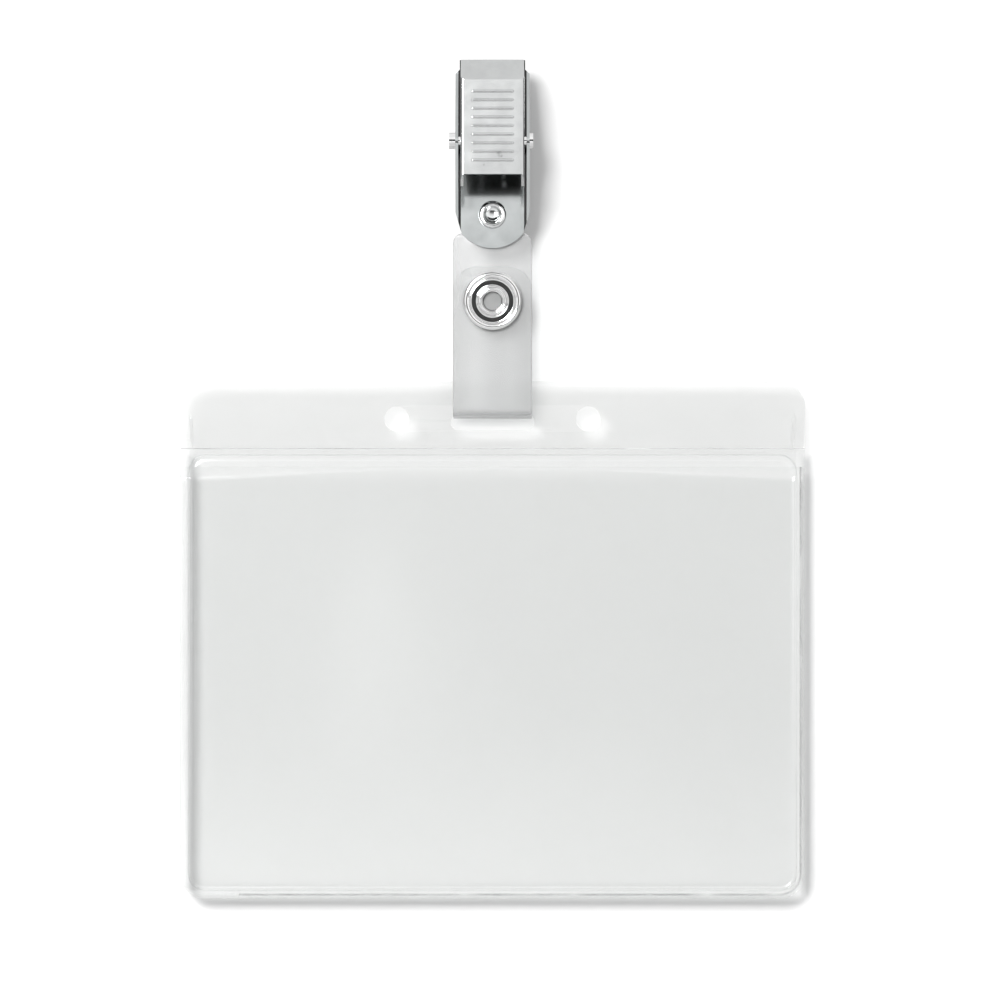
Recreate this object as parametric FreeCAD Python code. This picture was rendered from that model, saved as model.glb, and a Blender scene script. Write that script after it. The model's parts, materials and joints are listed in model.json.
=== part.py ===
import FreeCAD, Part

import math
import os

# A clear soft-vinyl badge holder on a vinyl snap strap, held by a sprung metal clip.
# Millimetres. X is across the holder, Y from front to back, Z up. The origin is where
# the clip's two jaw tips meet, so the holder hangs below it as it does in use.

# ---- clip: sheet, widths and heights ----
CLIP_SHEET = 0.5            # thickness of the pressed steel sheet
BEND_INSIDE = 0.25          # inside radius where the sheet is bent
BODY_WIDTH = 12.4           # across the outsides of the two ears
JAW_WIDTH = 11.0            # across the body's jaw tip
LEVER_GAP = 0.4             # side clearance between the lever and each ear
PLATE_FRONT = 1.2           # front face of the body's flat plate, behind the jaw line
JAW_CLEARANCE = 0.03        # air between the closed jaw tips
JAW_SHOULDER_Z = -2.2       # where the body widens from the jaw tip to the ears
EAR_END_Z = -28.9           # where the ears have tapered away
EAR_TAPER_Z = -25.5         # where the body starts to narrow to its tongue
TONGUE_CHORD = 10.4         # width of the tongue where its round end starts
TONGUE_RADIUS = 6.6
LEVER_BEND_Z = -3.5         # bend between the lever's nose and its pressing plate
LEVER_BEND_Y = -4.5
LEVER_END_Z = -19.5
LEVER_LEAN_DEG = 9.0        # the pressing plate stands off further towards its end
NOSE_TIP_Y = -1.2           # where the sloping nose turns into the jaw lip
FLANGE_TIP = 2.0            # how far the side flanges run past the pressing plate
FLANGE_DEPTH = 1.6          # depth of a side flange away from the pivot
RIB_COUNT = 9
RIB_PITCH = 1.45
RIB_FIRST_Z = -5.6
RIB_LENGTH = 6.6
RIB_RADIUS = 0.3
RIB_HEIGHT = 0.14

# ---- clip: pivot pin and spring ----
PIN_Y = -2.6
PIN_Z = -13.7
PIN_RADIUS = 0.8
PIN_CLEARANCE = 0.06        # radial, in the lever's flange holes
PIN_HEAD_RADIUS = 1.35
PIN_HEAD_LEFT = 1.05        # the formed head stands out further than the other one
PIN_HEAD_RIGHT = 0.6
PIN_DIMPLE_RADIUS = 0.6
PIN_DIMPLE_DEPTH = 0.4
EAR_LOBE_RADIUS = 1.9
FLANGE_LOBE_RADIUS = 1.6
WIRE_RADIUS = 0.32
COIL_RADIUS = 1.35          # to the middle of the wire
COIL_PITCH = 0.72
COIL_FULL_TURNS = 4
LEG_AIR = 0.02              # between a spring leg's end and the sheet that it presses
BODY_LEG_Z = -20.6
LEVER_LEG_Z = -18.2

# ---- clip rivet ----
RIVET_Z = -25.8
RIVET_SHANK_RADIUS = 1.7
RIVET_BORE_RADIUS = 1.35
RIVET_CURL_RADIUS = 2.3
RIVET_CURL_HEIGHT = 0.5
RIVET_HEAD_RADIUS = 3.0
RIVET_HEAD_HEIGHT = 0.55
SWIVEL_CLEARANCE = 0.05     # round the shank and each side of the strap

# ---- strap ----
STRAP_THICKNESS = 0.5
STRAP_WIDTH = 13.3
NECK_WIDTH = 10.0
NECK_TOP_Z = -21.4
SHOULDER_Z = -28.9
SHOULDER_RADIUS = 1.6
FLEX_Z = -33.6              # living hinge between the neck and the hanging layer
BEND_RADIUS = 1.25          # inside radius of the fold through the slot
FLEX_GAP = 0.03             # air at the upper living hinge
TAIL_GAP = 0.2              # air at the lower one, for the tail to swing right down
TAIL_TOP_Z = -34.3
TAIL_TOP_RADIUS = 4.0

# ---- snap fastener ----
SNAP_Z = -40.3
EYELET_RADIUS = 4.9
EYELET_ROLL = 0.55          # section radius of the rolled rim
EYELET_FLOOR = 0.3
POST_OUTER = 2.2
POST_BORE = 1.75
POST_HEIGHT = 1.3
POST_BORE_DEPTH = 1.45
BARREL_RADIUS = 1.5         # barrels that join the two halves through the vinyl
STUD_BASE_RADIUS = 4.0
STUD_BASE = 0.3
STUD_NECK_RADIUS = 1.7
STUD_HEAD_RADIUS = 2.0
STUD_HEIGHT = 1.5
SOCKET_RADIUS = 4.4
SOCKET_AIR = 0.1            # between the stud's base and the socket's face
SOCKET_MOUTH_RADIUS = 2.4
SOCKET_GROOVE_RADIUS = 2.7
SOCKET_FLOOR = 0.3
RING_WIRE_RADIUS = 0.2
RING_RADIUS = 2.15
RING_SPLIT_DEG = 50.0
CAP_RADIUS = 5.3
CAP_HEIGHT = 1.25
CAP_EDGE = 0.45

# ---- holder ----
HOLDER_WIDTH = 105.0
HOLDER_HEIGHT = 87.0
HOLDER_TOP_Z = -53.7
HOLDER_CORNER = 4.2
SHEET = 0.42                # each vinyl sheet
WELD_BORDER = 1.55
WINDOW_CORNER = 3.0
POCKET_RISE = 0.3           # how far each pocket panel bulges from the weld plane
HEADER_HEIGHT = 11.4
MOUTH_HEIGHT = 3.0
POCKET_TOP_INSET = 1.0      # the rear panel's bulge starts this far below the header
SLOT_LENGTH = 14.1
SLOT_HEIGHT = 2.7
SLOT_DROP = 5.5             # holder's top edge to the slot's top edge
HOLE_RADIUS = 2.1
HOLE_SPACING = 32.2
HOLE_DROP = 6.3             # holder's top edge to the round holes' centres

# ---- places that follow from the sizes above ----
PLATE_BACK = PLATE_FRONT + CLIP_SHEET
EAR_INSIDE = BODY_WIDTH / 2 - CLIP_SHEET
LEVER_HALF = EAR_INSIDE - LEVER_GAP
STRAP_FRONT = PLATE_BACK + SWIVEL_CLEARANCE
STRAP_MID = STRAP_FRONT + STRAP_THICKNESS / 2
STRAP_BACK = STRAP_FRONT + STRAP_THICKNESS
HOLDER_Y = STRAP_BACK + BEND_RADIUS
TAIL_FRONT = HOLDER_Y + BEND_RADIUS
TAIL_MID = TAIL_FRONT + STRAP_THICKNESS / 2
TAIL_BACK = TAIL_FRONT + STRAP_THICKNESS
HOLDER_BOTTOM_Z = HOLDER_TOP_Z - HOLDER_HEIGHT
HEADER_END_Z = HOLDER_TOP_Z - HEADER_HEIGHT
WINDOW_TOP_Z = HEADER_END_Z - MOUTH_HEIGHT
SLOT_TOP_Z = HOLDER_TOP_Z - SLOT_DROP
SLOT_MID_Z = SLOT_TOP_Z - SLOT_HEIGHT / 2
HOLE_Z = HOLDER_TOP_Z - HOLE_DROP
FOLD_CLEARANCE = 0.3        # between the fold's inside and the slot's top edge
FOLD_Z = SLOT_TOP_Z + BEND_RADIUS - FOLD_CLEARANCE
TAIL_HINGE_Z = FOLD_Z + STRAP_THICKNESS / 2 + TAIL_GAP

BACK = FreeCAD.Vector(0, 1, 0)


def box(x0, x1, y0, y1, z0, z1):
    """A box between two opposite corners."""
    return Part.makeBox(x1 - x0, y1 - y0, z1 - z0, FreeCAD.Vector(x0, y0, z0))


def rod_y(radius, y0, y1, z, x=0.0):
    """A cylinder along Y."""
    return Part.makeCylinder(radius, y1 - y0, FreeCAD.Vector(x, y0, z), BACK)


def rod_x(radius, x0, x1, y, z):
    """A cylinder along X."""
    return Part.makeCylinder(radius, x1 - x0, FreeCAD.Vector(x0, y, z), FreeCAD.Vector(1, 0, 0))


def side_plate(points, x0, x1):
    """A flat plate between x0 and x1 from (y, z) corners."""
    corners = [FreeCAD.Vector(x0, y, z) for y, z in points]
    face = Part.Face(Part.makePolygon(corners + corners[:1]))
    return face.extrude(FreeCAD.Vector(x1 - x0, 0, 0))


def front_plate(points, y0, y1):
    """A flat plate between y0 and y1 from (x, z) corners."""
    corners = [FreeCAD.Vector(x, y0, z) for x, z in points]
    face = Part.Face(Part.makePolygon(corners + corners[:1]))
    return face.extrude(FreeCAD.Vector(0, y1 - y0, 0))


def turned(profile, z):
    """A body of revolution about the Y axis at height z, from (radius, y) corners."""
    corners = [FreeCAD.Vector(radius, y, z) for radius, y in profile]
    face = Part.Face(Part.makePolygon(corners + corners[:1]))
    return face.revolve(FreeCAD.Vector(0, 0, z), BACK, 360)


def rounded_panel(x_half, z0, z1, y0, y1, corner, corner_top):
    """A panel with rounded bottom corners, and rounded top ones if corner_top is set."""
    panel = box(-x_half, x_half, y0, y1, z0, z1)
    upright = [e for e in panel.Edges if abs(e.BoundBox.YLength - (y1 - y0)) < 1e-6
               and e.BoundBox.XLength < 1e-6 and e.BoundBox.ZLength < 1e-6]
    low = [e for e in upright if e.BoundBox.Center.z < (z0 + z1) / 2]
    high = [e for e in upright if e.BoundBox.Center.z > (z0 + z1) / 2]
    return panel.makeFillet(corner, low + high if corner_top else low)


def bent_sheet(points, thickness):
    """The (y, z) outline of a sheet along a bent line, with its thickness to the left."""
    def shifted(a, b):
        length = math.dist(a, b)
        dy = -(b[1] - a[1]) / length * thickness
        dz = (b[0] - a[0]) / length * thickness
        return (a[0] + dy, a[1] + dz), (b[0] + dy, b[1] + dz)

    def meet(p, q):
        (ay, az), (by, bz) = p
        (cy, cz), (dy, dz) = q
        cross = (by - ay) * (dz - cz) - (bz - az) * (dy - cy)
        along = ((cy - ay) * (dz - cz) - (cz - az) * (dy - cy)) / cross
        return ay + along * (by - ay), az + along * (bz - az)

    runs = [shifted(a, b) for a, b in zip(points, points[1:])]
    inside = [runs[0][0]] + [meet(p, q) for p, q in zip(runs, runs[1:])] + [runs[-1][1]]
    return list(points) + inside[::-1]


def pressed_strip(points, x0, x1):
    """A strip of clip sheet between x0 and x1, bent along (y, z) points with rounded bends."""
    outline = bent_sheet(points, CLIP_SHEET)
    strip = side_plate(outline, x0, x1)
    for index in range(1, len(points) - 1):
        bends = ((points[index], BEND_INSIDE + CLIP_SHEET), (outline[-1 - index], BEND_INSIDE))
        for corner, radius in bends:
            bend = [e for e in strip.Edges if e.BoundBox.XLength > (x1 - x0) / 2
                    and math.dist((e.BoundBox.Center.y, e.BoundBox.Center.z), corner) < CLIP_SHEET / 50]
            strip = strip.makeFillet(radius, bend)
    return strip


def tangent_point(point, centre, radius, side):
    """Where a line from point touches a circle in the (y, z) plane."""
    dy, dz = point[0] - centre[0], point[1] - centre[1]
    reach = math.hypot(dy, dz)
    angle = math.atan2(dz, dy) + side * math.acos(radius / reach)
    return centre[0] + radius * math.cos(angle), centre[1] + radius * math.sin(angle)


def lever_plate_y(z):
    """Outside of the lever's pressing plate at a height."""
    return LEVER_BEND_Y - (LEVER_BEND_Z - z) * math.tan(math.radians(LEVER_LEAN_DEG))


def make_clip_body():
    """The clip's base: jaw, flat plate with a round tongue, and the two ears."""
    pin = (PIN_Y, PIN_Z)
    lip = box(-JAW_WIDTH / 2, JAW_WIDTH / 2, 0, PLATE_BACK, -CLIP_SHEET, 0)
    half, jaw, chord = BODY_WIDTH / 2, JAW_WIDTH / 2, TONGUE_CHORD / 2
    outline = [(-jaw, 0), (jaw, 0), (jaw, JAW_SHOULDER_Z + half - jaw), (half, JAW_SHOULDER_Z),
               (half, EAR_TAPER_Z), (chord, EAR_END_Z), (-chord, EAR_END_Z),
               (-half, EAR_TAPER_Z), (-half, JAW_SHOULDER_Z), (-jaw, JAW_SHOULDER_Z + half - jaw)]
    plate = front_plate(outline, PLATE_FRONT, PLATE_BACK)
    tongue_z = EAR_END_Z + math.sqrt(TONGUE_RADIUS ** 2 - chord ** 2)
    tongue = rod_y(TONGUE_RADIUS, PLATE_FRONT, PLATE_BACK, tongue_z)
    tongue = tongue.common(box(-half, half, PLATE_FRONT, PLATE_BACK, tongue_z - TONGUE_RADIUS, EAR_END_Z))
    body = plate.fuse([lip, tongue])
    upper = (PLATE_FRONT, JAW_SHOULDER_Z)
    lower = (PLATE_FRONT, EAR_END_Z)
    ear_outline = [(PLATE_BACK, JAW_SHOULDER_Z), upper,
                   tangent_point(upper, pin, EAR_LOBE_RADIUS, 1), pin,
                   tangent_point(lower, pin, EAR_LOBE_RADIUS, -1), lower, (PLATE_BACK, EAR_END_Z)]
    trim = front_plate(outline, pin[0] - EAR_LOBE_RADIUS, PLATE_BACK)
    for side in (-1, 1):
        x0, x1 = sorted((side * EAR_INSIDE, side * half))
        ear = side_plate(ear_outline, x0, x1).fuse(rod_x(EAR_LOBE_RADIUS, x0, x1, PIN_Y, PIN_Z))
        body = body.fuse(ear.common(trim))
    body = body.removeSplitter()
    folds = [e for e in body.Edges if abs(e.BoundBox.Center.y - PLATE_BACK) < CLIP_SHEET / 50
             and e.Length > (JAW_SHOULDER_Z - EAR_TAPER_Z) / 2
             and abs(abs(e.BoundBox.Center.x) - half) < CLIP_SHEET / 50]
    body = body.makeFillet(CLIP_SHEET * 0.9, folds)
    body = body.cut(rod_x(PIN_RADIUS, -half, half, PIN_Y, PIN_Z))
    body = body.cut(rod_y(RIVET_SHANK_RADIUS, PLATE_FRONT, PLATE_BACK, RIVET_Z))
    return body.removeSplitter()


def make_lever():
    """The sprung upper jaw: jaw lip, sloping nose, pressing plate, flanges and grip ribs."""
    end = (lever_plate_y(LEVER_END_Z), LEVER_END_Z)
    line = [(-JAW_CLEARANCE, 0), (NOSE_TIP_Y, 0), (LEVER_BEND_Y, LEVER_BEND_Z), end]
    lever = pressed_strip(line, -LEVER_HALF, LEVER_HALF)
    pin = (PIN_Y, PIN_Z)
    tip_z = LEVER_END_Z - FLANGE_TIP
    nose_inside = (LEVER_BEND_Y + FLANGE_DEPTH, LEVER_BEND_Z)
    tail_inside = (lever_plate_y(tip_z) + FLANGE_DEPTH, tip_z)
    flange_outline = [(LEVER_BEND_Y, LEVER_BEND_Z), nose_inside,
                      tangent_point(nose_inside, pin, FLANGE_LOBE_RADIUS, -1), pin,
                      tangent_point(tail_inside, pin, FLANGE_LOBE_RADIUS, 1), tail_inside,
                      (lever_plate_y(tip_z) + CLIP_SHEET, tip_z), end]
    for side in (-1, 1):
        x0, x1 = sorted((side * (LEVER_HALF - CLIP_SHEET), side * LEVER_HALF))
        lobe = rod_x(FLANGE_LOBE_RADIUS, x0, x1, PIN_Y, PIN_Z)
        lever = lever.fuse(side_plate(flange_outline, x0, x1).fuse(lobe))
    lever = lever.removeSplitter()
    folds = [e for e in lever.Edges if abs(abs(e.BoundBox.Center.x) - LEVER_HALF) < CLIP_SHEET / 50
             and e.Length > (LEVER_BEND_Z - LEVER_END_Z) / 2
             and abs(lever_plate_y(e.BoundBox.Center.z) - e.BoundBox.Center.y) < CLIP_SHEET / 50]
    lever = lever.makeFillet(CLIP_SHEET * 0.9, folds)
    lever = lever.cut(rod_x(PIN_RADIUS + PIN_CLEARANCE, -LEVER_HALF, LEVER_HALF, PIN_Y, PIN_Z))
    for index in range(RIB_COUNT):
        z = RIB_FIRST_Z - index * RIB_PITCH
        y = lever_plate_y(z) + RIB_RADIUS - RIB_HEIGHT
        rib = rod_x(RIB_RADIUS, -RIB_LENGTH / 2, RIB_LENGTH / 2, y, z)
        for side in (-1, 1):
            rib = rib.fuse(Part.makeSphere(RIB_RADIUS, FreeCAD.Vector(side * RIB_LENGTH / 2, y, z)))
        lever = lever.fuse(rib.cut(side_plate(inner_space(), -LEVER_HALF, LEVER_HALF)))
    return lever.removeSplitter()


def inner_space():
    """The (y, z) outline of the room behind the pressing plate's inside face."""
    inset = CLIP_SHEET / math.cos(math.radians(LEVER_LEAN_DEG))
    return [(lever_plate_y(LEVER_BEND_Z) + inset, LEVER_BEND_Z),
            (lever_plate_y(LEVER_END_Z) + inset, LEVER_END_Z), (0, LEVER_END_Z), (0, LEVER_BEND_Z)]


def make_pivot_pin():
    """The hinge pin through both ears, with a formed head at each end."""
    half = BODY_WIDTH / 2
    pin = rod_x(PIN_RADIUS, -half, half, PIN_Y, PIN_Z)
    for x0, x1 in ((-half - PIN_HEAD_LEFT, -half), (half, half + PIN_HEAD_RIGHT)):
        pin = pin.fuse(rod_x(PIN_HEAD_RADIUS, x0, x1, PIN_Y, PIN_Z))
    left_end = -half - PIN_HEAD_LEFT
    dimple = rod_x(PIN_DIMPLE_RADIUS, left_end, left_end + PIN_DIMPLE_DEPTH, PIN_Y, PIN_Z)
    return pin.cut(dimple).removeSplitter()


def make_clip_spring():
    """A torsion spring round the pin: one leg on the body's plate, one on the lever."""
    pin = (PIN_Y, PIN_Z)
    inset = CLIP_SHEET / math.cos(math.radians(LEVER_LEAN_DEG))
    body_end = (PLATE_FRONT - WIRE_RADIUS - LEG_AIR, BODY_LEG_Z)
    lever_end = (lever_plate_y(LEVER_LEG_Z) + inset + WIRE_RADIUS + 2 * LEG_AIR, LEVER_LEG_Z)
    body_touch = tangent_point(body_end, pin, COIL_RADIUS, 1)
    lever_touch = tangent_point(lever_end, pin, COIL_RADIUS, -1)
    start = math.atan2(body_touch[1] - PIN_Z, body_touch[0] - PIN_Y)
    finish = math.atan2(lever_touch[1] - PIN_Z, lever_touch[0] - PIN_Y)
    turns = ((finish - start) / (2 * math.pi)) % 1.0 + COIL_FULL_TURNS
    rise = turns * COIL_PITCH
    helix = Part.makeHelix(COIL_PITCH, rise, COIL_RADIUS)
    helix.rotate(FreeCAD.Vector(0, 0, 0), FreeCAD.Vector(0, 0, 1), math.degrees(start))
    to_x = FreeCAD.Matrix(0, 0, 1, -rise / 2, 1, 0, 0, PIN_Y, 0, 1, 0, PIN_Z)
    coil = helix.transformGeometry(to_x)
    slope = COIL_PITCH / (2 * math.pi * COIL_RADIUS)
    body_run = math.dist(body_end, body_touch)
    lever_run = math.dist(lever_end, lever_touch)
    body_tip = FreeCAD.Vector(-rise / 2 - slope * body_run, *body_end)
    body_tangent = FreeCAD.Vector(-rise / 2, *body_touch)
    lever_tangent = FreeCAD.Vector(rise / 2, *lever_touch)
    lever_tip = FreeCAD.Vector(rise / 2 + slope * lever_run, *lever_end)
    path = Part.Wire([Part.makeLine(body_tip, body_tangent)] + coil.Edges
                     + [Part.makeLine(lever_tangent, lever_tip)])
    section = Part.Wire(Part.makeCircle(WIRE_RADIUS, body_tip, body_tangent - body_tip))
    return path.makePipeShell([section], True, True)


def make_clip_rivet():
    """The semi-tubular rivet that the strap turns on: head behind, curled rim in front."""
    rear = STRAP_BACK + SWIVEL_CLEARANCE
    curl = PLATE_FRONT - RIVET_CURL_HEIGHT
    soft = RIVET_CURL_HEIGHT / 2
    profile = [(0, PLATE_BACK), (RIVET_BORE_RADIUS * 0.8, PLATE_BACK), (RIVET_BORE_RADIUS, PLATE_FRONT),
               (RIVET_BORE_RADIUS, curl + soft / 2), (RIVET_BORE_RADIUS + soft / 2, curl),
               (RIVET_CURL_RADIUS - soft, curl), (RIVET_CURL_RADIUS, curl + soft),
               (RIVET_CURL_RADIUS, PLATE_FRONT), (RIVET_SHANK_RADIUS, PLATE_FRONT),
               (RIVET_SHANK_RADIUS, rear), (RIVET_HEAD_RADIUS, rear),
               (RIVET_HEAD_RADIUS, rear + RIVET_HEAD_HEIGHT / 3),
               (RIVET_HEAD_RADIUS * 0.75, rear + RIVET_HEAD_HEIGHT), (0, rear + RIVET_HEAD_HEIGHT)]
    return turned(profile, RIVET_Z)


def make_strap_neck():
    """The narrow top of the strap, behind the clip's tongue, down to the living hinge."""
    half, neck = STRAP_WIDTH / 2, NECK_WIDTH / 2
    low = FLEX_Z + STRAP_THICKNESS / 2 + FLEX_GAP
    top = box(-neck, neck, STRAP_FRONT, STRAP_BACK, SHOULDER_Z - SHOULDER_RADIUS, NECK_TOP_Z)
    top = top.makeFillet(neck * 0.6, [e for e in top.Edges if e.BoundBox.ZLength < 1e-6
                                      and e.BoundBox.XLength < 1e-6 and e.BoundBox.Center.z > SHOULDER_Z])
    wide = box(-half, half, STRAP_FRONT, STRAP_BACK, low, SHOULDER_Z)
    wide = wide.makeFillet(SHOULDER_RADIUS, [e for e in wide.Edges if e.BoundBox.ZLength < 1e-6
                                             and e.BoundBox.XLength < 1e-6
                                             and e.BoundBox.Center.z > SHOULDER_Z - SHOULDER_RADIUS])
    neck_solid = top.fuse(wide).removeSplitter()
    return neck_solid.cut(rod_y(RIVET_SHANK_RADIUS + SWIVEL_CLEARANCE, STRAP_FRONT, STRAP_BACK, RIVET_Z))


def make_strap_front():
    """The hanging front layer, with a rounded top edge and the fold through the slot."""
    half = STRAP_WIDTH / 2
    layer = box(-half, half, STRAP_FRONT, STRAP_BACK, FOLD_Z, FLEX_Z)
    edge = rod_x(STRAP_THICKNESS / 2, -half, half, STRAP_MID, FLEX_Z)
    outer = rod_x(BEND_RADIUS + STRAP_THICKNESS, -half, half, HOLDER_Y, FOLD_Z)
    inner = rod_x(BEND_RADIUS, -half, half, HOLDER_Y, FOLD_Z)
    reach = BEND_RADIUS + STRAP_THICKNESS
    below = box(-half, half, HOLDER_Y - reach, HOLDER_Y + reach, FOLD_Z - reach, FOLD_Z)
    fold = outer.cut(inner).common(below)
    strap = layer.fuse([edge, fold]).removeSplitter()
    return strap.cut(rod_y(BARREL_RADIUS, STRAP_FRONT, STRAP_BACK, SNAP_Z))


def make_strap_tail():
    """The rear layer that snaps shut on the front one, with a rounded lower edge."""
    half = STRAP_WIDTH / 2
    layer = box(-half, half, TAIL_FRONT, TAIL_BACK, TAIL_HINGE_Z, TAIL_TOP_Z)
    layer = layer.makeFillet(TAIL_TOP_RADIUS, [e for e in layer.Edges if e.BoundBox.ZLength < 1e-6
                                               and e.BoundBox.XLength < 1e-6
                                               and e.BoundBox.Center.z > TAIL_TOP_Z - 1])
    edge = rod_x(STRAP_THICKNESS / 2, -half, half, TAIL_MID, TAIL_HINGE_Z)
    tail = layer.fuse(edge).removeSplitter()
    return tail.cut(rod_y(BARREL_RADIUS, TAIL_FRONT, TAIL_BACK, SNAP_Z))


def make_snap_eyelet():
    """The front of the stud half: rolled rim, dished floor and a central open post."""
    floor = STRAP_FRONT - EYELET_FLOOR
    post_top = STRAP_FRONT - POST_HEIGHT
    soft = (POST_OUTER - POST_BORE) / 2
    bore_floor = post_top + POST_BORE_DEPTH
    profile = [(0, STRAP_BACK), (0, bore_floor), (POST_BORE * 0.7, bore_floor), (POST_BORE, floor),
               (POST_BORE, post_top + soft), (POST_BORE + soft, post_top), (POST_OUTER, post_top + soft),
               (POST_OUTER + soft, floor), (EYELET_RADIUS - EYELET_ROLL, floor),
               (EYELET_RADIUS - EYELET_ROLL, STRAP_FRONT), (BARREL_RADIUS, STRAP_FRONT),
               (BARREL_RADIUS, STRAP_BACK)]
    rim = Part.makeTorus(EYELET_RADIUS - EYELET_ROLL, EYELET_ROLL,
                         FreeCAD.Vector(0, STRAP_FRONT - EYELET_ROLL, SNAP_Z), BACK)
    return turned(profile, SNAP_Z).fuse(rim).removeSplitter()


def make_snap_stud():
    """The stud behind the front layer: base disc, waist and bulged head."""
    base = STRAP_BACK + STUD_BASE
    tip = base + STUD_HEIGHT
    waist = base + STUD_HEIGHT * 0.45
    profile = [(0, STRAP_BACK), (STUD_BASE_RADIUS, STRAP_BACK), (STUD_BASE_RADIUS, base),
               (STUD_NECK_RADIUS, base), (STUD_NECK_RADIUS, waist), (STUD_HEAD_RADIUS, waist + 0.2),
               (STUD_HEAD_RADIUS, tip - 0.35), (STUD_HEAD_RADIUS - 0.5, tip), (0, tip)]
    return turned(profile, SNAP_Z)


def make_snap_socket():
    """The socket on the tail, with a groove for its spring ring."""
    face = STRAP_BACK + STUD_BASE + SOCKET_AIR
    ring = socket_ring_y()
    groove = RING_WIRE_RADIUS + 0.05
    floor = TAIL_FRONT - SOCKET_FLOOR
    profile = [(0, floor), (SOCKET_MOUTH_RADIUS, floor), (SOCKET_MOUTH_RADIUS, ring + groove),
               (SOCKET_GROOVE_RADIUS, ring + groove), (SOCKET_GROOVE_RADIUS, ring - groove),
               (SOCKET_MOUTH_RADIUS, ring - groove), (SOCKET_MOUTH_RADIUS, face),
               (SOCKET_RADIUS - 0.6, face), (SOCKET_RADIUS, face + 0.6), (SOCKET_RADIUS, TAIL_FRONT),
               (0, TAIL_FRONT)]
    return turned(profile, SNAP_Z)


def socket_ring_y():
    """Middle of the spring ring, level with the stud's waist."""
    return STRAP_BACK + STUD_BASE + STUD_HEIGHT * 0.45 - RING_WIRE_RADIUS


def make_socket_spring():
    """The split wire ring that grips the stud's waist."""
    ring = Part.makeTorus(RING_RADIUS, RING_WIRE_RADIUS, FreeCAD.Vector(0, 0, 0),
                          FreeCAD.Vector(0, 0, 1), 0, 360, 360 - RING_SPLIT_DEG)
    ring.rotate(FreeCAD.Vector(0, 0, 0), FreeCAD.Vector(1, 0, 0), 90)
    ring.translate(FreeCAD.Vector(0, socket_ring_y(), SNAP_Z))
    return ring


def make_snap_cap():
    """The domed cap behind the tail, with the barrel that holds the socket."""
    top = TAIL_BACK + CAP_HEIGHT
    edge = TAIL_BACK + CAP_EDGE
    bulge = CAP_HEIGHT - CAP_EDGE
    profile = [(0, TAIL_FRONT), (BARREL_RADIUS, TAIL_FRONT), (BARREL_RADIUS, TAIL_BACK),
               (CAP_RADIUS - 0.2, TAIL_BACK), (CAP_RADIUS, TAIL_BACK + 0.2), (CAP_RADIUS, edge),
               (CAP_RADIUS * 0.93, edge + bulge * 0.45), (CAP_RADIUS * 0.72, edge + bulge * 0.8),
               (CAP_RADIUS * 0.4, top - bulge * 0.04), (0, top)]
    return turned(profile, SNAP_Z)


def header_cuts(y0, y1):
    """The strap slot and the two round holes, as cutters."""
    straight = SLOT_LENGTH / 2 - SLOT_HEIGHT / 2
    slot = box(-straight, straight, y0, y1, SLOT_MID_Z - SLOT_HEIGHT / 2, SLOT_TOP_Z)
    cutters = [rod_y(SLOT_HEIGHT / 2, y0, y1, SLOT_MID_Z, side * straight) for side in (-1, 1)]
    cutters += [rod_y(HOLE_RADIUS, y0, y1, HOLE_Z, side * HOLE_SPACING / 2) for side in (-1, 1)]
    return slot.fuse(cutters)


def make_back_sheet():
    """The full-height rear sheet: flat round its edge, with a bulged pocket panel."""
    half = HOLDER_WIDTH / 2
    outside = HOLDER_Y + SHEET
    flat = rounded_panel(half, HOLDER_BOTTOM_Z, HOLDER_TOP_Z, HOLDER_Y, outside, HOLDER_CORNER, True)
    inner = half - WELD_BORDER
    low, high = HOLDER_BOTTOM_Z + WELD_BORDER, HEADER_END_Z - POCKET_TOP_INSET
    bulge = rounded_panel(inner, low, high, outside, outside + POCKET_RISE, WINDOW_CORNER, True)
    hollow = rounded_panel(inner - SHEET, low + SHEET, high - SHEET, HOLDER_Y, HOLDER_Y + POCKET_RISE,
                           WINDOW_CORNER - SHEET, True)
    return flat.fuse(bulge).cut(hollow).cut(header_cuts(HOLDER_Y, outside)).removeSplitter()


def make_header_strip():
    """The second layer that stiffens the slotted header, in front of the rear sheet."""
    half = HOLDER_WIDTH / 2
    strip = rounded_panel(half, HOLDER_BOTTOM_Z, HOLDER_TOP_Z, HOLDER_Y - SHEET, HOLDER_Y,
                          HOLDER_CORNER, True)
    strip = strip.common(box(-half, half, HOLDER_Y - SHEET, HOLDER_Y, HEADER_END_Z, HOLDER_TOP_Z))
    return strip.cut(header_cuts(HOLDER_Y - SHEET, HOLDER_Y))


def make_window_sheet():
    """The front sheet, welded at its sides and bottom, open at the top for the card."""
    half = HOLDER_WIDTH / 2
    front = HOLDER_Y - SHEET
    flat = rounded_panel(half, HOLDER_BOTTOM_Z, WINDOW_TOP_Z, front, HOLDER_Y, HOLDER_CORNER, False)
    inner = half - WELD_BORDER
    low = HOLDER_BOTTOM_Z + WELD_BORDER
    bulge = rounded_panel(inner, low, WINDOW_TOP_Z, front - POCKET_RISE, front, WINDOW_CORNER, False)
    hollow = rounded_panel(inner - SHEET, low + SHEET, WINDOW_TOP_Z, HOLDER_Y - POCKET_RISE, HOLDER_Y,
                           WINDOW_CORNER - SHEET, False)
    return flat.fuse(bulge).cut(hollow).removeSplitter()


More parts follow.
